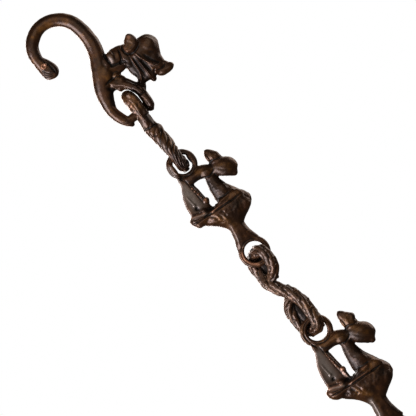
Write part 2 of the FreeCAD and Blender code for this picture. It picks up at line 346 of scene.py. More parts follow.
    def piece(self, name, body, material, nodes, paint):
        """Makes the finished mesh piece, in place of its CAD nodes.

        A row of paint is a colour, points that it is laid along as seen from the front and the back, its
        radius and strength, and if it doesn't go right through, the least and greatest y that it reaches.
        """
        mesh = bpy.data.meshes.new(name)
        mesh.from_pydata((self.verts * MM + np.array(ORIGIN)).tolist(), [], self.faces)
        close, broad = self.relief()
        values = {"close": close, "broad": broad}
        for key in PAINTS:
            values[key] = np.zeros(len(self.verts))
        for key, points, radius, strength, *depths in paint:
            if len(points) == 1:
                points = [points[0], (points[0][0] + SPOT, points[0][1])]
            away, _ = self.away(points)
            amount = strength * np.exp(-(away / radius) ** 2)
            if depths:
                amount = amount * (self.verts[:, 1] > depths[0]) * (self.verts[:, 1] < depths[1])
            values[key] = np.maximum(values[key], amount)
        for key, value in values.items():
            layer = mesh.attributes.new(key, "FLOAT", "POINT")
            layer.data.foreach_set("value", value.astype(np.float32))
        mesh.shade_smooth()
        obj = bpy.data.objects.new(name, mesh)
        bpy.context.scene.collection.objects.link(obj)
        obj.data.materials.append(material)
        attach(obj, body)
        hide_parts(*nodes)


# ---- materials --------------------------------------------------------------------------------

MIX_A, MIX_B, MIX_RESULT = 6, 7, 2              # the colour sockets of a Mix node
PALE_SHEEN = (0.19, 0.165, 0.145)                # painted sheen: pale grey on the flat and raised faces, where the key light reflects
# near black of the painted shade
PAINTED_SHADE_BLACK = (0.005, 0.0026, 0.0016)
# colour of rubbed copper, and of glints painted as highlights
COPPER_AND_GLINT = (0.5, 0.28, 0.18)
PIT_SCALE = 620.0
BUMP_STRENGTH = 0.26
BUMP_DEPTH = 0.35 * MM


def noise(nodes, links, where, scale, detail, rough=0.6, distortion=0.0):
    node = nodes.new("ShaderNodeTexNoise")
    node.inputs["Scale"].default_value = scale
    node.inputs["Detail"].default_value = detail
    node.inputs["Roughness"].default_value = rough
    node.inputs["Distortion"].default_value = distortion
    links.new(where, node.inputs["Vector"])
    return node.outputs["Fac"]


def bronze(name, dark, brown, ochre, rubbed, wear, gloss):
    """Old patinated bronze: mottled browns, coppery where it is rubbed, with painted shade near black in
    hollows and where it is laid, and painted sheen and glints.
    """
    material = bpy.data.materials.new(name)
    material.use_nodes = True
    nodes, links = material.node_tree.nodes, material.node_tree.links
    shader = nodes["Principled BSDF"]
    place = nodes.new("ShaderNodeTexCoord").outputs["Object"]

    def attribute(key):
        node = nodes.new("ShaderNodeAttribute")
        node.attribute_name = key
        return node.outputs["Fac"]

    def mapped(value, low, high, to_low=0.0, to_high=1.0):
        node = nodes.new("ShaderNodeMapRange")
        node.inputs["From Min"].default_value = low
        node.inputs["From Max"].default_value = high
        node.inputs["To Min"].default_value = to_low
        node.inputs["To Max"].default_value = to_high
        links.new(value, node.inputs["Value"])
        return node.outputs["Result"]

    def maths(operation, a, b):
        node = nodes.new("ShaderNodeMath")
        node.operation = operation
        node.use_clamp = operation != "SUBTRACT"
        for socket, value in zip(node.inputs, (a, b)):
            if isinstance(value, float):
                socket.default_value = value
            else:
                links.new(value, socket)
        return node.outputs["Value"]

    def mixed(amount, a, b):
        node = nodes.new("ShaderNodeMix")
        node.data_type = "RGBA"
        links.new(amount, node.inputs["Factor"])
        for socket, value in zip((node.inputs[MIX_A], node.inputs[MIX_B]), (a, b)):
            if isinstance(value, tuple):
                socket.default_value = (*value, 1.0)
            else:
                links.new(value, socket)
        return node.outputs[MIX_RESULT]

    cloud = noise(nodes, links, place, 90.0, 5.0)
    mottle = noise(nodes, links, place, 330.0, 6.0, 0.65, 0.4)
    speck = noise(nodes, links, place, 1300.0, 4.0, 0.7)
    close, broad = attribute("close"), attribute("broad")

    worn = maths("MULTIPLY", mapped(close, 0.04, 0.22), mapped(cloud, 0.4, 0.62, 0.08, 1.0))
    worn = maths("MULTIPLY", worn, wear)
    worn = maths("MULTIPLY", worn, mapped(attribute("pale"), 0.0, 0.6, 1.0, 0.1))
    worn = maths("MULTIPLY", worn, mapped(attribute("soot"), 0.0, 0.7, 1.0, 0.1))
    # painted shade: darker in creases and recesses, and where shade is painted
    hollow = maths("ADD", mapped(close, -0.02, -0.13), mapped(broad, -0.05, -0.7))
    hollow = maths("ADD", hollow, attribute("soot"))
    ochre_dust = maths("MULTIPLY", mapped(mottle, 0.5, 0.66), mapped(cloud, 0.42, 0.62, 0.1, 0.85))
    ochre_dust = maths("ADD", ochre_dust, maths("MULTIPLY", attribute("ochre"), mapped(mottle, 0.3, 0.6)))

    colour = mixed(mapped(cloud, 0.35, 0.65), dark, brown)
    colour = mixed(mapped(speck, 0.4, 0.75, 0.0, 0.35), colour, dark)
    colour = mixed(ochre_dust, colour, ochre)
    # painted sheen: pale grey where it is painted
    colour = mixed(attribute("pale"), colour, PALE_SHEEN)
    colour = mixed(hollow, colour, PAINTED_SHADE_BLACK)
    colour = mixed(worn, colour, rubbed)
    # rubbed copper, and glints painted as highlights
    bright = maths("MULTIPLY", attribute("copper"), mapped(speck, 0.3, 0.6, 0.55, 1.0))
    colour = mixed(bright, colour, COPPER_AND_GLINT)
    links.new(colour, shader.inputs["Base Color"])

    metal = maths("ADD", maths("MULTIPLY", worn, 0.35), maths("MULTIPLY", bright, 0.2))
    links.new(maths("ADD", metal, mapped(mottle, 0.3, 0.7, 0.12, 0.34)), shader.inputs["Metallic"])
    rough = mapped(maths("ADD", mapped(mottle, 0.25, 0.75, 0.0, 0.7), maths("MULTIPLY", hollow, 0.6)),
                   0.0, 1.3, gloss - 0.06, gloss + 0.28)
    links.new(maths("SUBTRACT", rough, maths("MULTIPLY", worn, 0.1)), shader.inputs["Roughness"])

    pits = nodes.new("ShaderNodeTexVoronoi")
    pits.inputs["Scale"].default_value = PIT_SCALE
    links.new(place, pits.inputs["Vector"])
    relief = maths("ADD", maths("MULTIPLY", mottle, 0.55), maths("MULTIPLY", speck, 0.14))
    relief = maths("ADD", relief, mapped(pits.outputs["Distance"], 0.0, 0.35, 0.0, 0.08))
    bump = nodes.new("ShaderNodeBump")
    bump.inputs["Strength"].default_value = BUMP_STRENGTH
    bump.inputs["Distance"].default_value = BUMP_DEPTH
    links.new(relief, bump.inputs["Height"])
    links.new(bump.outputs["Normal"], shader.inputs["Normal"])
    shader.inputs["Specular IOR Level"].default_value = 0.85
    shader.inputs["Specular Tint"].default_value = (1.0, 0.92, 0.88, 1.0)
    return material


patina = bronze(
    "bronze", dark=(0.028, 0.011, 0.004), brown=(0.098, 0.042, 0.017), ochre=(0.165, 0.078, 0.018),
    rubbed=(0.17, 0.11, 0.075), wear=0.4, gloss=0.34)
bright_patina = bronze(
    "rubbed_bronze", dark=(0.045, 0.020, 0.011), brown=(0.14, 0.066, 0.032), ochre=(0.16, 0.075, 0.026),
    rubbed=(0.40, 0.22, 0.13), wear=0.7, gloss=0.26)


def nodes_of(body, leave=()):
    """The CAD nodes of a body, without those to leave out."""
    return [n for n in frame["record"]["behaviour"]["bodies"][body] if n not in leave]


# ---- the hook ---------------------------------------------------------------------------------

SHIN_SIDE = 5.2        # how far the sides of the shin and the lobe are from the middle plane


def make_hook():
    nodes = nodes_of("hook", ["hook_serpent_eyes"])
    clay = Clay()
    clay.add_nodes(nodes)
    clay.add(both_faces(6.4, 3.0, 87.4, 3.5, 3.6, 4.9, -8.0))       # mane
    clay.add(both_faces(1.0, 2.8, 86.4, 3.2, 3.2, 4.6))             # shoulder behind the mane
    clay.add(both_faces(13.6, 4.4, 80.5, 3.0, 1.6, 6.4, 6.0))       # side of the neck
    clay.add(both_faces(31.4, 4.6, 79.0, 5.4, 3.2, 5.6, 30.0))      # brow
    clay.add(both_faces(24.0, 6.2, 87.6, 4.0, 2.2, 5.2, 18.0))      # swelling of the ears
    clay.add(both_faces(24.3, 5.4, 90.4, 3.1, 2.0, 3.6))            # their tips
    clay.add(both_faces(-5.0, 3.9, 81.5, 5.0, 2.4, 6.6, 28.0))      # haunch
    clay.add([
        lump(9.0, 0.0, 88.4, 5.2, 4.8, 4.6),                        # nape
        lump(6.5, 0.0, 78.6, 5.4, 3.8, 3.0),                        # under the neck
        lump(0.6, 0.0, 75.6, 3.6, 4.4, 3.4),                        # root of the foreleg
        lump(1.8, 0.0, 71.4, 3.4, 4.2, 3.2),
        lump(0.6, 0.0, 67.6, 3.8, 3.6, 3.4, 30.0),                  # its underside, over the link
        lump(2.8, 0.0, 65.4, 3.2, 3.6, 2.6),
        tube(eased([                                                # shin and lobe
            (4.9, 0.0, 64.2, 2.8), (6.0, 0.0, 61.4, 2.9), (7.3, 0.0, 58.0, 3.1), (7.6, 0.0, 54.0, 3.2),
            (7.6, 0.0, 50.0, 3.2), (7.4, 0.0, 46.0, 3.1), (6.7, 0.0, 43.4, 2.4)])),
        lump(0.4, 0.0, 66.2, 2.6, 3.4, 1.8),                        # edge over the link
        lump(2.9, 0.0, 65.1, 2.0, 3.4, 2.0),
        lump(-2.4, 0.0, 67.4, 2.4, 3.6, 2.7),
        lump(7.6, 0.0, 46.6, 2.6, 3.2, 4.6, 20.0),                  # foot of the lobe
        lump(20.4, 0.0, 58.8, 2.2, 2.9, 2.7),                       # drop under the chin
        lump(33.0, 0.0, 61.2, 2.4, 3.2, 2.6),                       # top and tip of the lips
        lump(35.4, 0.0, 58.8, 2.2, 2.4, 1.9, 60.0),
        lump(12.5, 0.0, 72.4, 2.6, 3.6, 8.6),                       # cheek strap
        lump(16.6, 0.0, 63.0, 3.6, 3.4, 3.8),                       # chin
        lump(29.4, 0.0, 59.0, 5.4, 3.7, 3.7),                       # lips
        lump(33.4, 0.0, 58.3, 3.7, 3.0, 2.9)])
    clay.add(both_faces(21.6, 5.2, 88.0, 3.5, 2.4, 5.8, 36.0))      # body of the ears
    for y in (-SHIN_SIDE, SHIN_SIDE):
        clay.add([tube(eased([
            (-3.6, y * 0.4, 71.6, 2.4), (0.2, y * 0.45, 69.0, 2.6), (3.6, y * 0.7, 65.4, 2.5),
            (5.6, y * 0.9, 62.0, 2.6), (7.4, y, 58.0, 3.1), (7.7, y, 54.0, 3.3), (7.6, y, 50.0, 3.3),
            (7.4, y, 46.2, 3.0), (6.8, y, 43.8, 2.2)]))])
    clay.fuse(voxel=0.72, rounds=7, finer=True)

    # the serpent's cheek: three grooves under each other, and its mouth
    for fall in range(3):
        clay.line([(-38.0 - 1.0 * fall, 110.4 - 2.1 * fall), (-36.8 - 0.5 * fall, 107.7 - 2.0 * fall),
                   (-34.8 - 0.1 * fall, 105.8 - 1.6 * fall), (-32.4, 104.6 - 1.1 * fall)], 0.42, -0.55)
    clay.line([(-33.2, 116.0), (-31.9, 112.5), (-31.1, 109.0), (-30.9, 105.5), (-31.3, 102.2)], 0.6, -0.9)
    clay.line([(-31.0, 118.0), (-29.9, 113.5), (-28.9, 108.0), (-29.0, 104.0)], 0.8, 0.3)
    clay.dent(-34.9, 111.9, 2.7, -0.5)
    # neck, mane and shoulder
    clay.line([(13.4, 89.4), (12.0, 85.4), (10.2, 81.6), (8.8, 80.2)], 0.75, -1.5)
    clay.line([(3.2, 93.0), (2.6, 88.0), (3.0, 83.4)], 0.8, -1.2)
    clay.line([(1.5, 83.2), (5.0, 82.0), (9.4, 80.6), (12.4, 78.6)], 1.1, -1.5)
    clay.line([(9.0, 92.0), (8.6, 88.0), (7.4, 84.6)], 0.6, -0.35)
    clay.line([(16.4, 90.6), (15.4, 86.5), (16.4, 82.4), (20.5, 80.8), (26.0, 82.4)], 0.7, -1.1)
    # the folds that hang from the ear to the strap, the jaw and the lips
    clay.line([(16.9, 81.5), (16.3, 74.5), (15.6, 68.0), (13.6, 63.6), (10.4, 60.2)], 0.6, 0.95)
    clay.line([(19.9, 79.5), (19.7, 70.0), (19.9, 59.4)], 0.5, 0.8)
    clay.line([(20.9, 80.0), (22.2, 74.0), (25.2, 67.2), (28.8, 61.8)], 0.6, 0.95)
    clay.line([(17.9, 77.5), (17.6, 70.0), (17.2, 63.5)], 1.0, -1.1)
    clay.line([(21.2, 74.0), (21.8, 69.0), (22.4, 63.0)], 1.2, -1.25)
    clay.dent(10.4, 67.0, 2.3, -0.6)
    clay.line([(24.6, 76.5), (26.2, 71.5), (29.0, 66.4), (31.5, 63.6)], 1.3, -0.9)
    clay.line([(25.8, 61.2), (28.6, 60.4), (32.0, 61.0), (34.0, 61.8)], 0.5, -0.6)
    clay.line([(23.0, 60.4), (23.9, 62.0), (25.2, 62.6)], 0.6, -0.8)
    clay.dent(29.4, 73.0, 3.2, -0.9)
    clay.dent(34.6, 69.0, 2.4, -0.4)
    clay.line([(30.0, 85.4), (34.0, 83.0), (36.6, 78.4)], 1.2, 0.35)
    # ears: a rim round a shallow cup
    clay.line([(18.0, 89.6), (16.9, 85.6), (19.6, 83.6), (24.4, 84.2)], 0.55, 0.5)
    clay.line([(24.4, 93.2), (26.6, 90.2), (26.4, 86.4)], 0.6, 0.35)
    clay.dent(22.4, 87.2, 2.2, -0.7)
    # foreleg, its fold over the eye, and the lobe beside the link
    clay.line([(-9.4, 74.6), (-5.0, 75.4), (-0.5, 75.2), (3.2, 73.4)], 0.8, -0.8)
    clay.line([(-9.2, 72.2), (-7.0, 69.6), (-4.6, 66.4)], 1.0, -0.9)
    clay.line([(-5.8, 73.6), (-1.2, 69.2), (2.4, 64.2), (3.4, 59.8)], 0.8, 0.5)
    clay.line([(2.4, 72.6), (5.8, 67.6), (8.0, 62.2), (7.6, 57.4)], 0.8, -0.35)
    clay.line([(4.2, 56.0), (6.6, 54.6), (10.4, 54.6)], 0.55, -0.7)
    clay.line([(8.2, 60.6), (9.0, 57.0), (10.4, 54.4)], 0.6, -0.6)
    clay.line([(5.4, 52.6), (6.6, 48.0), (5.8, 43.4)], 0.8, -0.3)
    # tail
    clay.line([(-14.2, 60.5), (-12.9, 55.0), (-11.6, 50.5), (-10.4, 46.0)], 0.7, 0.4)
    clay.line([(-16.0, 47.6), (-13.2, 44.6), (-10.6, 43.4)], 0.5, -0.35)
    clay.roughen([(9.0, 0.16), (3.2, 0.07), (1.3, 0.025)], 3)
    # the beast, to the right of a leaning line, is rougher than the rod
    beast = 1.0 / (1.0 + np.exp(-(clay.verts[:, 0] + 0.15 * clay.verts[:, 2] - 18.0)))
    clay.push(beast * (0.09 * grain(clay.verts, 2.8, 9) + 0.035 * grain(clay.verts, 1.1, 12)))
    paint = [
        ("ochre", [(-28.0, 133.0), (-22.0, 133.6), (-14.0, 133.2)], 2.0, 1.0),      # crook
        ("ochre", [(11.6, 86.0), (10.2, 82.0)], 0.9, 1.0),
        ("ochre", [(-5.0, 83.0), (-1.0, 76.0)], 4.4, 0.8),
        ("ochre", [(-6.5, 73.4)], 1.4, 0.8),
        ("ochre", [(22.0, 88.0)], 3.0, 0.7),
        ("ochre", [(28.0, 76.0), (33.0, 80.0)], 3.0, 0.4),
        ("ochre", [(-16.0, 66.0), (-16.0, 58.0)], 1.2, 0.35),
        ("copper", [(-2.0, 127.5)], 0.7, 0.35),
        ("copper", [(24.0, 91.2)], 1.2, 0.9),                                       # tips of the ears
        ("copper", [(-32.2, 103.2)], 0.8, 0.3),
        ("copper", [(17.2, 87.4), (16.8, 84.6), (19.4, 83.6)], 0.6, 0.35),
        ("copper", [(-14.2, 60.0), (-12.4, 52.4), (-11.0, 48.4)], 0.5, 0.45),
        ("copper", [(28.4, 62.2)], 0.7, 0.25),
        ("copper", [(21.0, 79.0), (22.4, 73.6), (25.6, 66.6)], 0.45, 0.3),
        ("copper", [(16.4, 78.0), (15.7, 68.0), (13.0, 63.0)], 0.45, 0.22),
        # painted sheen on the mane; the rows below paint shade
        ("pale", [(5.2, 89.0), (5.0, 85.0)], 1.6, 0.5),
        ("soot", [(-33.4, 122.0), (-32.8, 117.0)], 1.5, 0.5),                       # painted shade in the serpent's throat
        ("soot", [(-30.8, 112.0), (-30.8, 103.0)], 0.7, 0.7),
        ("soot", [(12.4, 79.0), (12.4, 67.0)], 2.4, 0.8),                           # painted shade between the folds
        ("soot", [(17.8, 74.0), (17.4, 66.0), (17.0, 61.0)], 0.8, 0.8),
        ("soot", [(21.6, 71.0), (22.2, 66.0), (22.0, 60.0)], 1.1, 0.8),
        ("soot", [(26.0, 72.0), (29.0, 69.0)], 2.4, 0.5),
        ("soot", [(29.0, 80.0), (33.0, 76.0)], 5.0, 0.28),
        ("soot", [(3.0, 82.6), (8.0, 80.8), (12.0, 79.0)], 1.2, 0.8),
        ("soot", [(-9.0, 71.0), (-6.0, 67.4)], 1.2, 0.7),                           # painted shade round the lower eye
        ("soot", [(-8.6, 68.4), (-11.4, 65.6), (-13.2, 60.6)], 1.3, 1.0),
        # painted shadow of the link's thumb on the lobe
        ("soot", [(9.0, 50.0), (8.0, 43.0)], 2.0, 0.25),
        ("soot", [(3.9, 60.0), (3.8, 50.0), (3.8, 43.0)], 0.5, 0.7)]
    clay.piece("hook_casting", "hook", patina, nodes, paint)

    eyes = Clay()
    eyes.add_nodes(["hook_serpent_eyes"])
    eyes.add(both_faces(-34.9, 4.0, 111.9, 0.75, 0.8, 0.75))
    eyes.fuse(voxel=0.24, rounds=2)
    eyes.roughen([(1.2, 0.09)], 5)
    eyes.piece("serpent_eyes", "hook", bright_patina, ["hook_serpent_eyes"],
               [("copper", [(-34.9, 111.9)], 3.0, 0.75)])


# ---- the upper rope link ----------------------------------------------------------------------

LOOP_LEG = 7.6         # how far the legs of the loops are from the middle plane
LEG_AXIS = 7.2         # the same for the line that their strands wind round
SHANK_X = -1.3         # place of the shank's middle
UPPER_PITCH = 38.0     # length of one turn of the strands


def make_upper_link():
    nodes = nodes_of("upper_rope_link")
    clay = Clay()
    clay.add_nodes(nodes)
    for z, size in ((55.6, 1.25), (52.2, 1.1), (47.2, 1.3), (44.0, 1.2)):
        clay.add(both_faces(-4.6, LOOP_LEG, z, 1.4, 1.6, size))
    for y in (-LOOP_LEG, LOOP_LEG):
        clay.add([tube(eased([
            (0.6, y, 42.0, 2.4), (0.7, y, 50.0, 2.8), (0.5, y, 56.0, 2.8), (-0.4, y, 60.6, 2.4)]))])
    clay.add([
        lump(2.6, 0.0, -1.0, 1.5, 3.0, 3.6),            # right side of the lower end
        lump(-2.3, 0.0, 61.5, 3.2, 4.5, 2.3),           # shoulders of the upper end
        lump(0.0, 0.0, 61.2, 1.6, 4.0, 1.6)])
    clay.fuse(voxel=0.56, rounds=5, finer=True)

    # six strands wind round the shank, and round each leg of the loops
    x, y, z = clay.verts.T
    leg = np.clip((z - 31.0) / 10.0, 0.0, 1.0) + np.clip((17.0 - z) / 10.0, 0.0, 1.0)
    centre = np.sign(y) * LEG_AXIS * leg * leg * (3.0 - 2.0 * leg)
    angle = np.arctan2(x - SHANK_X, -(y - centre))
    wave = np.cos(3.0 * (angle - 2.0 * math.pi * z / UPPER_PITCH))
    groove = (1.0 - np.abs(wave)) ** 1.3
    # the strands fade out on the upper loop, at the knots, and where the lower end bears on the ring
    upper_loop = np.clip((z - 34.0) / 8.0, 0.0, 1.0)
    knots = 0.45 * np.exp(-((z - 30.0) / 3.2) ** 2) + 0.85 * np.exp(-((z - 37.0) / 4.0) ** 2)
    depth = np.maximum(1.0 - 0.86 * upper_loop - knots, 0.04)
    bearing = np.clip((14.0 - z) / 6.0, 0.0, 1.0)
    strands = (0.35 - 0.25 * bearing - 1.15 * groove) * (1.0 + 0.35 * grain(clay.verts, 5.0, 21))
    clay.push(0.1 - 0.25 * bearing + depth * strands)
    clay.line([(-7.5, 33.6), (-4.0, 32.4), (-0.5, 32.2), (3.2, 31.4)], 0.75, -0.95)
    clay.line([(-6.5, 29.4), (-2.0, 28.8), (3.8, 29.2)], 1.5, 0.5)
    clay.line([(-6.0, 26.2), (-1.6, 25.6), (3.6, 26.4)], 0.6, -0.4)
    clay.line([(-2.8, 57.0), (-2.6, 50.0), (-3.4, 44.6)], 0.8, -0.55)
    clay.line([(-2.2, 46.0), (-2.4, 41.5), (-1.8, 37.0)], 0.5, 0.5)
    outer_faces = np.abs(clay.verts[:, 1]) > 6.0
    clay.line([(1.8, 57.0), (2.2, 52.0), (1.4, 46.0)], 1.0, 0.3, only=outer_faces)
    clay.roughen([(6.0, 0.16), (2.6, 0.12), (1.2, 0.03)], 31)
    paint = [
        ("copper", [(-4.2, 55.6)], 0.9, 0.5),                                       # painted highlights on the knots' tops
        ("copper", [(-4.0, 52.4)], 0.9, 0.65),
        ("copper", [(-4.6, 47.0)], 0.7, 0.4),
        ("copper", [(-4.8, 44.0)], 0.7, 0.35),
        ("ochre", [(-1.0, 58.0), (0.0, 48.0)], 3.0, 0.6),
        ("ochre", [(1.5, 22.0), (2.0, 10.0)], 2.4, 0.6),
        ("ochre", [(-3.0, 29.0)], 2.4, 0.4),
        # painted sheen on the lit left side of the shank and the collar
        ("pale", [(-3.4, 21.0), (-3.8, 16.0)], 1.4, 0.35),
        ("pale", [(-5.6, 40.0), (-5.8, 33.6)], 1.0, 0.35),
        # painted shade on the collar
        ("soot", [(1.0, 41.0), (0.6, 34.0)], 3.0, 0.5),
        ("soot", [(3.6, 3.0), (3.6, -5.0)], 1.0, 1.0, -4.0, 4.0)]                   # painted shade inside the ring
    clay.piece("upper_rope_casting", "upper_rope_link", patina, nodes, paint)


# ---- the lower rope link ----------------------------------------------------------------------

ROPE_STRANDS = 5
ROPE = 4.4             # the rope's usual radius
STRAND = 2.1           # radius of a strand there
ROPE_PITCH = 62.0      # length of one turn of the strands
BEAD_STEP = 4.3        # distance between the lumps of a strand
GOLDEN_TURN = 2.4      # radians from one knob to the next, and from one strand's lumps to the next's
KNOB = 1.3             # radius of a knob
SLANT = (0.8, 0.6, 0.0)                # the side of the rope on which the first strand starts


def rope(rows):
    """Strands wound round a core. A row is x, y, z and the rope's radius."""
    rows = eased(rows, 7)
    centres = rows[:, :3]
    u, v = frames(centres, SLANT)
    length = travelled(centres)
    parts = [tube(np.column_stack([centres, np.maximum(rows[:, 3] - 0.85, 0.5)]), 14)]
    for k in range(ROPE_STRANDS):
        turn = 2.0 * math.pi * (k / ROPE_STRANDS + length / ROPE_PITCH)
        thick = STRAND * rows[:, 3] / ROPE
        thick = thick * (1.0 + 0.10 * np.sin(2.0 * math.pi * length / BEAD_STEP + GOLDEN_TURN * k))
        out = (rows[:, 3] - 0.92 * thick)[:, None]
        ring = np.cos(turn)[:, None] * u + np.sin(turn)[:, None] * v
        parts.append(tube(np.column_stack([centres + ring * out, thick]), 9))
    for k, i in enumerate(range(4, len(rows) - 4, 2)):
        turn = GOLDEN_TURN * k
        knob = centres[i] + (math.cos(turn) * u[i] + math.sin(turn) * v[i]) * (rows[i, 3] - 0.9)
        parts.append(lump(*knob, KNOB, KNOB, KNOB + 0.5 * math.sin(3.0 * turn)))
    return parts


def make_lower_link():
    nodes = nodes_of("lower_rope_link")
    clay = Clay()
    clay.add(rope([
        (-2.8, 1.2, -103.8, 2.8), (1.2, -2.4, -101.6, 3.8), (4.5, -5.5, -97.8, 4.3),        # upper loop
        (6.0, -6.9, -93.5, 4.4), (6.6, -7.2, -89.0, 4.3), (6.3, -6.9, -85.0, 4.3),
        (4.9, -4.5, -82.2, 4.3), (2.2, -0.4, -81.7, 4.3), (-1.0, 4.2, -83.0, 4.3),
        (-3.8, 7.0, -85.8, 4.3), (-5.0, 7.2, -89.0, 4.3), (-5.2, 6.6, -95.0, 4.5),
        (-5.0, 4.2, -101.0, 4.6), (-4.2, 0.6, -106.3, 4.7), (-1.4, -1.6, -111.5, 4.7),      # middle
        (2.2, -3.6, -117.0, 4.6), (5.0, -5.6, -122.5, 4.6), (6.4, -7.0, -129.0, 4.6),       # lower loop
        (6.7, -7.2, -135.0, 4.5), (6.3, -7.2, -141.5, 4.3), (5.9, -6.9, -146.0, 4.3),
        (4.3, -4.7, -148.8, 4.3), (1.6, 0.0, -149.6, 4.3), (-1.4, 4.8, -148.8, 4.3),
        (-4.0, 7.0, -146.0, 4.3), (-4.8, 7.2, -141.5, 4.3), (-4.9, 7.3, -134.5, 4.4),
        (-3.9, 6.4, -128.5, 4.3), (-1.4, 4.0, -123.4, 3.9), (2.4, -1.2, -119.8, 2.9)]))
    # the bronze runs together between the turns, clear of the rings
    clay.add([lump(1.0, 5.3, -91.0, 3.8, 2.2, 11.5), lump(1.0, 5.5, -134.4, 3.8, 2.2, 12.5)])
    clay.fuse(voxel=0.34, rounds=6, swell=0.08)
    clay.roughen([(4.6, 0.26), (2.3, 0.24), (1.1, 0.06)], 41)
    paint = [
        ("copper", [(3.0, -138.0)], 0.7, 0.35),
        ("ochre", [(8.0, -131.0), (8.0, -143.0)], 2.6, 1.0),
        ("ochre", [(-3.0, -100.0), (-3.0, -107.0)], 2.0, 0.5),
        ("ochre", [(5.0, -149.0)], 3.0, 0.5),
        # painted sheen along the strands
        ("pale", [(3.2, -126.0), (3.0, -140.0), (1.0, -147.0)], 1.0, 0.5),
        ("pale", [(-7.0, -130.0), (-7.4, -141.0)], 1.6, 0.35),
        ("pale", [(-8.0, -92.0), (-8.4, -106.0)], 1.6, 0.35),
        ("pale", [(3.0, -84.0), (3.2, -91.0), (0.5, -98.0)], 1.2, 0.25),
        ("pale", [(5.0, -84.0), (-4.0, -104.0), (5.0, -124.0), (5.0, -146.0)], 6.0, 0.16),
        ("soot", [(0.6, -84.0), (0.4, -102.0)], 2.8, 1.0, 1.8, 6.4),                # painted shade on the webs
        ("soot", [(0.4, -124.0), (0.6, -147.0)], 3.0, 1.0, 1.8, 6.4),
        # painted shade round the loops and beside the strands
        ("soot", [(-3.4, -80.2)], 2.4, 0.5),
        ("soot", [(5.0, -103.4), (1.0, -104.0)], 1.2, 0.7),
        ("soot", [(9.0, -121.0), (9.8, -128.0)], 1.0, 0.4)]
    clay.piece("lower_rope_casting", "lower_rope_link", patina, nodes, paint)


# ---- the figure links -------------------------------------------------------------------------

KNOTS = 6              # knots in each of the two rows down the torso
KNOT_STEP = 2.1
FOLDS = (              # of the lower mass: x, top, bottom, how far the lower end leans, depth
    (-13.0, -42.6, -45.5, 3.0, 0.5),
    (-8.2, -42.0, -48.5, 3.6, 0.7),
    (-3.0, -44.0, -50.0, 1.8, 0.45),
    (0.8, -42.6, -49.0, 0.8, 0.6),
    (8.6, -46.0, -51.0, -2.6, 0.3),
    (16.0, -45.0, -49.0, -3.4, 0.3))


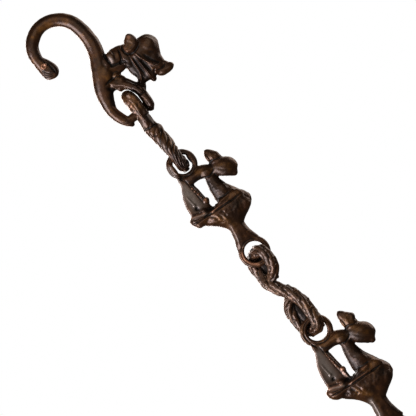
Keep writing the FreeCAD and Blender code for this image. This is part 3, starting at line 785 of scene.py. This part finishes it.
def make_figure(prefix, body, breadth, reach, seed, own_clay, own_paint):
    """A seated figure link, with the clay and the paint that only it has.

    Places are the upper figure's outline millimetres. The lower figure is drawn out from them.
    """
    ring = (middle(prefix + "_ring") - ORIGIN) / MM
    beads_node = prefix + "_beads"
    nodes = nodes_of(body, [beads_node])

    def lay(x, z):
        """A place on this figure."""
        x, z = x - UPPER_RING[0], z - UPPER_RING[1]
        drawn = z if z > BRIDGE_LEVEL else BRIDGE_LEVEL + (z - BRIDGE_LEVEL) * reach
        return ring.x + x * breadth, ring.z + drawn

    def along(*points):
        return [lay(x, z) for x, z in points]

    def mound(x, y, z, rx, ry, rz, lean=0.0):
        """Eggs of clay on both faces, broader and longer as this figure is."""
        px, pz = lay(x, z)
        return both_faces(px, y, pz, rx * breadth, ry, rz * (1.0 + 0.6 * (reach - 1.0)), lean)

    clay = Clay()
    clay.add_nodes(nodes)
    clay.add(mound(9.0, 2.6, -16.4, 4.4, 3.0, 3.4))                 # shoulder
    clay.add(mound(12.8, 1.2, -17.4, 3.0, 2.6, 3.0))                # throat
    clay.add(mound(10.0, 4.6, -33.0, 4.4, 2.6, 5.6))                # belly
    clay.add(mound(14.0, 5.2, -41.0, 6.6, 2.8, 4.2, 8.0))           # hip
    clay.add(mound(5.0, 6.0, -38.8, 8.6, 2.0, 2.2, -4.0))           # thigh
    clay.add(mound(-9.4, 3.6, -37.0, 2.4, 3.6, 2.4))                # toes
    clay.add(mound(22.0, 0.6, -10.2, 2.0, 3.4, 2.0))                # corners of the cap and the head
    clay.add(mound(15.9, 0.6, -9.0, 1.6, 3.2, 4.0))
    clay.add(mound(24.4, 0.8, -27.6, 2.4, 3.2, 2.8))
    clay.add(mound(16.4, 2.0, -49.6, 5.6, 5.6, 4.6, -20.0))         # seat
    for egg in own_clay:
        clay.add(mound(*egg))
    eye_x, eye_z = lay(UPPER_RING[0] + EYE_OFFSET[0], UPPER_RING[1] + EYE_OFFSET[1])
    clay.add([
        arc(ring.x, ring.z, 9.5 * breadth, 105.0, 222.0, 1.95),
        arc(eye_x, eye_z, 8.8, 128.0, 236.0, 1.85)])
    side_wall = along((-6.2, -12.0), (-5.0, -16.0), (-4.2, -21.0), (-3.7, -27.0), (-2.9, -34.0))
    clay.add([tube(eased([(x, 1.0, z, 1.35) for x, z in side_wall]))])
    clay.fuse(voxel=0.72, rounds=6, finer=True)

    # ring and lower eye: a groove inside a rounded rim
    for cx, cz, radius in ((ring.x, ring.z, 8.7 * breadth), (eye_x, eye_z, 9.2)):
        turns = np.linspace(0, 2 * math.pi, 41)
        circle = [(cx + radius * math.cos(turn), cz + radius * math.sin(turn)) for turn in turns]
        clay.line(circle, 0.42, -0.42, curve=False)
    # panel: a low rib with a knob, a dimple under it, and grooves along its right border and the band
    clay.line(along((-12.6, -21.0), (-12.4, -25.5), (-12.0, -29.4)), 0.6, 0.3)
    clay.dent(*lay(-12.0, -29.6), 0.9, 0.75)
    clay.dent(*lay(-12.0, -32.6), 1.5, -1.1)
    clay.line(along((-6.6, -9.0), (-6.2, -16.0), (-6.0, -24.0), (-5.6, -33.0)), 0.5, -0.4)
    clay.line(along((-9.4, 4.0), (-9.9, -3.0), (-8.6, -8.0), (-7.0, -12.0)), 0.55, -0.5)
    # foot: rolled folds
    clay.line(along((-20.6, -35.2), (-16.0, -36.2), (-11.0, -38.4), (-7.6, -39.8)), 0.9, 0.7)
    clay.line(along((-18.6, -37.6), (-15.0, -38.7), (-10.6, -40.2)), 0.5, -0.5)
    clay.line(along((-17.0, -34.3), (-12.6, -35.8), (-8.2, -37.4)), 0.5, -0.7)
    clay.line(along((-19.6, -39.9), (-13.0, -40.6), (-6.0, -40.6)), 0.65, -1.2)
    # thigh and the hem under it
    clay.line(along((-5.6, -40.3), (1.0, -40.5), (9.0, -40.9)), 0.4, 0.5)
    clay.line(along((-5.0, -41.4), (3.0, -41.6), (12.0, -42.4), (19.0, -42.8)), 0.6, -1.1)
    clay.line(along((-4.6, -38.8), (0.0, -38.2), (3.0, -36.4)), 1.0, -1.1)
    clay.line(along((2.4, -38.6), (8.0, -38.2), (13.0, -37.6)), 1.0, 0.35)
    clay.line(along((5.0, -35.6), (9.0, -36.6), (14.0, -36.4)), 0.8, -0.5)
    # folds of the lower mass
    for x, top, bottom, lean, depth in FOLDS:
        halfway = (x + 0.7 * lean, 0.5 * (bottom + top))
        clay.line(along((x, top), halfway, (x + lean, bottom)), 1.0, -0.55 * depth)
    clay.line(along((0.0, -47.0), (6.0, -48.6), (13.0, -47.8)), 1.2, 0.4)
    # torso: knots down the front, and the folds of the arms
    for step in range(KNOTS):
        clay.dent(*lay(6.4 + 0.3 * math.sin(2.4 * step), -23.6 - KNOT_STEP * step), 0.8, 0.2)
        clay.dent(*lay(9.2 + 0.4 * math.sin(1.7 * step), -24.8 - KNOT_STEP * step), 0.8, 0.12)
    clay.line(along((5.4, -18.0), (8.4, -19.6), (12.0, -19.2), (14.6, -17.4)), 0.6, -0.7)
    clay.line(along((-4.4, -9.8), (1.0, -10.6), (6.0, -10.2)), 0.7, -0.4)
    clay.line(along((-3.0, -13.4), (3.0, -13.2), (8.6, -14.8), (11.4, -17.6)), 0.9, 0.35)
    # head and cap
    clay.line(along((14.2, -12.6), (17.4, -12.0), (20.6, -13.0), (24.0, -13.8)), 0.8, -0.9)
    clay.line(along((15.6, -17.6), (18.6, -21.0), (22.6, -24.6), (26.0, -27.2)), 0.9, -0.25)
    clay.line(along((19.4, -5.4), (18.8, -9.0), (18.4, -12.0)), 0.8, 0.3)
    clay.line(along((16.0, -4.4), (16.4, -8.6), (16.0, -12.2)), 0.6, -0.35)
    clay.dent(*lay(22.6, -20.0), 2.6, 0.35)
    # shank and eye
    clay.line(along((-0.6, -56.0), (-1.4, -61.0), (-2.6, -66.6), (-4.6, -71.6)), 1.0, 0.35)
    clay.line(along((2.4, -55.6), (2.8, -61.0), (2.6, -66.0), (0.6, -70.6)), 1.3, -0.22)
    clay.line(along((5.6, -57.0), (5.8, -62.0), (6.6, -68.0), (8.8, -74.0)), 1.0, 0.35)
    clay.roughen([(8.0, 0.14), (3.0, 0.09), (1.2, 0.025)], seed)
    # the lower mass is crumpled, and the torso finely rough
    x, _, z = clay.verts.T
    hem = lay(0.0, -40.0)[1]
    crumpled = np.exp(-((z - hem + 7.0) / 7.0) ** 2) * np.clip((x - ring.x + 14.0) / 6.0, 0.0, 1.0)
    clay.push(crumpled * (0.42 * grain(clay.verts, 3.2, seed + 7) + 0.2 * grain(clay.verts, 1.6, seed + 8)))
    torso = np.exp(-((z - hem - 12.0) / 7.0) ** 2) * (x - ring.x > 4.0)
    clay.push(torso * 0.08 * grain(clay.verts, 1.5, seed + 9))
    # The pale rows paint sheen and highlights, and the dark rows paint shade.
    paint = [
        ("copper", [(-19.6, -35.0), (-15.0, -35.9), (-9.6, -38.0)], 0.7, 0.62),                 # foot: painted highlight along the top roll
        ("copper", [(-5.2, -40.3), (1.0, -40.5), (8.0, -40.9)], 0.42, 0.5),                     # hem
        ("copper", [(5.6, 1.0), (6.6, -2.6), (5.8, -6.4)], 0.7, 0.4),
        ("copper", [(-6.4, -76.4), (-7.6, -80.6), (-5.6, -86.0), (-2.0, -89.4)], 0.95, 1.0),    # lower eye
        ("ochre", [(-5.0, -46.0), (0.0, -52.0)], 2.6, 0.9),
        ("ochre", [(8.0, -39.0), (17.0, -40.0)], 1.6, 0.8),
        ("ochre", [(2.0, -58.0)], 3.0, 0.7),
        ("ochre", [(4.0, -12.0), (12.0, -18.0)], 2.4, 0.7),
        ("ochre", [(19.0, -19.0), (24.0, -22.0)], 3.0, 0.7),
        ("ochre", [(19.0, -10.0)], 2.4, 0.5),
        ("pale", [(-9.6, -15.0), (-9.4, -18.0)], 2.6, 0.9),                                     # painted sheen on the panel
        ("pale", [(-10.6, -20.0), (-11.4, -30.0)], 4.4, 1.0),
        ("pale", [(-20.0, -35.2), (-15.0, -36.2), (-9.0, -38.8)], 1.1, 1.0),                    # painted highlight on the top roll of the foot
        ("pale", [(-2.0, -58.0), (-3.2, -67.0)], 1.2, 0.4),                                     # painted sheen on the shank's lit side
        ("soot", [(4.8, 3.0), (5.3, -1.0), (4.6, -6.0)], 1.0, 1.0),                             # painted shade in the ring
        # painted shade under the bridge, the hem and the hip
        ("soot", [(-5.6, -13.0), (-2.0, -15.6), (3.0, -15.8), (6.0, -19.0)], 0.9, 0.8),
        ("soot", [(-4.4, -38.4), (-1.0, -38.2), (3.0, -37.0)], 1.3, 0.9),
        ("soot", [(10.0, -46.0), (17.0, -46.0)], 4.0, 0.45),
        ("soot", [(5.4, -22.0), (4.6, -35.0)], 2.4, 0.8),                                       # painted shade on the torso
        ("soot", [(8.0, -24.0), (7.6, -34.0)], 3.4, 0.55),
        ("soot", [(8.0, -15.6)], 2.0, 0.5),
        ("soot", [(-7.0, -44.0)], 1.6, 0.35),
        ("soot", [(15.4, -17.0), (20.0, -23.0)], 3.4, 0.6),                                     # painted shade on the head
        ("soot", [(17.0, -25.6), (23.0, -29.4)], 1.6, 0.55)]
    paint = [(key, along(*points), radius, strength) for key, points, radius, strength in paint + own_paint]
    clay.piece(prefix + "_casting", body, patina, nodes, paint)

    beads = Clay()
    beads.add_nodes([beads_node])
    beads.fuse(voxel=0.26, rounds=2, swell=-0.2)
    beads.roughen([(2.6, 0.5), (1.2, 0.2)], seed + 5)
    paint = [
        ("copper", along((-3.6, -30.6)), 0.9, 0.7),
        ("copper", along((-5.0, -17.0), (-4.6, -27.0)), 0.5, 0.3),
        ("ochre", along((-3.0, -32.0), (-4.0, -22.0)), 1.6, 0.8)]
    beads.piece(prefix + "_bead_row", body, bright_patina, [beads_node], paint)


make_hook()
make_upper_link()
make_figure("upper_figure", "upper_figure_link", breadth=1.0, reach=1.0, seed=51, own_clay=[
    (-16.8, 3.0, -42.0, 3.2, 3.4, 2.8),                 # heel under the foot
    (-8.6, 3.4, -2.4, 2.0, 1.4, 7.0, 4.0),              # band from the ring to the panel
    (6.0, 0.0, -1.4, 1.4, 2.0, 4.2),                    # thick inner wall of the ring
], own_paint=[
    # painted sheen on the band from the ring to the panel
    ("pale", [(-9.8, 2.0), (-10.6, -6.0), (-10.0, -14.0)], 1.5, 0.75),
    ("ochre", [(-7.0, 3.0), (-6.8, -8.0)], 0.8, 0.8),
])
make_lower_link()
make_figure("lower_figure", "lower_figure_link", LOWER_BREADTH, LOWER_REACH, seed=71, own_clay=[
    (23.0, 0.6, -8.4, 2.2, 3.2, 2.4),                   # broader cap
    (21.4, 0.6, -6.6, 2.0, 3.0, 2.6),
    (19.6, 0.6, -4.4, 1.8, 2.8, 2.6),
    (-3.2, 3.4, -34.4, 1.3, 1.7, 3.6, -6.0),            # border of the panel, down to the foot
    (9.0, 6.4, -38.4, 4.6, 2.0, 1.8),                   # knee
], own_paint=[
    ("ochre", [(-9.4, 4.0), (-10.4, -3.0), (-8.6, -9.0)], 2.0, 0.6),
    ("ochre", [(-4.0, -11.0), (10.0, -15.0)], 3.0, 0.8),
    ("ochre", [(18.0, -8.0), (22.0, -20.0)], 4.0, 0.9),
    ("ochre", [(6.0, 6.0), (9.4, -2.0)], 2.4, 0.6),
    # painted highlights on the roll end of the foot and on the knee
    ("copper", [(-19.4, -35.2), (-17.0, -36.0)], 1.0, 0.5),
    ("copper", [(7.0, -37.6), (10.0, -37.8)], 0.8, 0.35),
    # painted sheen on the shank, and painted sheen and glints along the panel's border
    ("pale", [(-1.4, -56.0), (-2.4, -66.0)], 1.8, 0.7),
    ("pale", [(-7.0, -12.0), (-5.8, -24.3), (-3.9, -37.0)], 0.9, 0.8),
    ("copper", [(-6.4, -18.0), (-5.4, -26.0), (-3.9, -36.0)], 0.6, 0.45),
])


# ---- stage, light and camera ------------------------------------------------------------------

ROLL = math.radians(38.0)               # the chain lies this far round from upright in the view
VIEW_CENTRE = Vector((0.0110, 0.0, -0.1676))
VIEW_WIDTH = 0.2912                     # of the picture, at the chain
CAMERA_DISTANCE = 1.9
SENSOR = 36.0
GAMMA = 0.78                            # deepens the shadows
FLOOR_DROP = 0.22                       # from the chain's lowest point to the floor
FLOOR_HALF = 1.1                        # half the floor's side
SEEN_WORLD = (1.0, 1.0, 1.0)            # what the camera sees behind the chain
LIGHTING_WORLD = (0.125, 0.104, 0.086)  # what lights it from all round
LIGHTS = (                              # name, place from the chain's middle, width, height, watts, colour
    ("key", (-0.72, -0.40, -0.06), 0.55, 0.9, 14.0, (0.95, 0.94, 1.0)),
    ("fill", (0.1, -0.9, 0.45), 0.8, 0.8, 2.5, (1.0, 0.88, 0.74)),
    ("side", (0.85, 0.4, 0.2), 0.6, 0.9, 5.0, (1.0, 0.93, 0.88)),
    ("back_key", (-0.35, 0.85, 0.1), 0.5, 0.9, 9.0, (1.0, 0.95, 0.93)),
    ("back_fill", (0.3, 0.9, 0.5), 0.8, 0.8, 3.0, (1.0, 0.93, 0.85)))


def make_floor(level):
    mesh = bpy.data.meshes.new("floor")
    corners = [(-FLOOR_HALF, -FLOOR_HALF), (FLOOR_HALF, -FLOOR_HALF), (FLOOR_HALF, FLOOR_HALF),
               (-FLOOR_HALF, FLOOR_HALF)]
    mesh.from_pydata([(x, y, level) for x, y in corners], [], [(0, 1, 2, 3)])
    floor = bpy.data.objects.new("floor", mesh)
    material = bpy.data.materials.new("floor")
    material.use_nodes = True
    shader = material.node_tree.nodes["Principled BSDF"]
    shader.inputs["Base Color"].default_value = (0.86, 0.86, 0.85, 1.0)
    shader.inputs["Roughness"].default_value = 0.8
    shader.inputs["Emission Color"].default_value = (1.0, 1.0, 1.0, 1.0)
    shader.inputs["Emission Strength"].default_value = 0.7
    mesh.materials.append(material)
    floor.visible_diffuse = False
    floor.visible_glossy = False
    bpy.context.scene.collection.objects.link(floor)


def make_light(name, place, target, width, height, power, colour):
    """A soft box that faces the target."""
    light = bpy.data.lights.new(name, "AREA")
    light.shape = "RECTANGLE"
    light.size = width
    light.size_y = height
    light.energy = power
    light.color = colour
    lamp = bpy.data.objects.new(name, light)
    lamp.location = place
    lamp.rotation_euler = (target - place).to_track_quat("-Z", "Y").to_euler()
    bpy.context.scene.collection.objects.link(lamp)


def make_world():
    """White behind the object, and a dimmer even light round it."""
    world = bpy.data.worlds.new("studio")
    world.use_nodes = True
    nodes, links = world.node_tree.nodes, world.node_tree.links
    path = nodes.new("ShaderNodeLightPath")
    colour = nodes.new("ShaderNodeMix")
    colour.data_type = "RGBA"
    colour.inputs[MIX_A].default_value = (*LIGHTING_WORLD, 1.0)
    colour.inputs[MIX_B].default_value = (*SEEN_WORLD, 1.0)
    links.new(path.outputs["Is Camera Ray"], colour.inputs["Factor"])
    links.new(colour.outputs[MIX_RESULT], nodes["Background"].inputs["Color"])
    bpy.context.scene.world = world


def make_camera():
    """Looks at the front, with the chain lying diagonally."""
    data = bpy.data.cameras.new("camera")
    data.sensor_width = SENSOR
    data.lens = SENSOR * CAMERA_DISTANCE / VIEW_WIDTH
    data.clip_end = 20.0
    camera = bpy.data.objects.new("camera", data)
    right = Vector((math.cos(ROLL), 0.0, -math.sin(ROLL)))
    up = Vector((math.sin(ROLL), 0.0, math.cos(ROLL)))
    back = Vector((0.0, -1.0, 0.0))
    turn = Matrix((right, up, back)).transposed().to_4x4()
    camera.matrix_world = Matrix.Translation(VIEW_CENTRE + back * CAMERA_DISTANCE) @ turn
    bpy.context.scene.collection.objects.link(camera)
    bpy.context.scene.camera = camera


chain_middle = (cad_box[0] + cad_box[1]) / 2.0
make_floor(cad_box[0].z - FLOOR_DROP)
for light_name, offset, width, height, power, colour in LIGHTS:
    make_light(light_name, chain_middle + Vector(offset), chain_middle, width, height, power, colour)
make_world()
make_camera()
bpy.context.scene.view_settings.view_transform = "Standard"
bpy.context.scene.view_settings.gamma = GAMMA
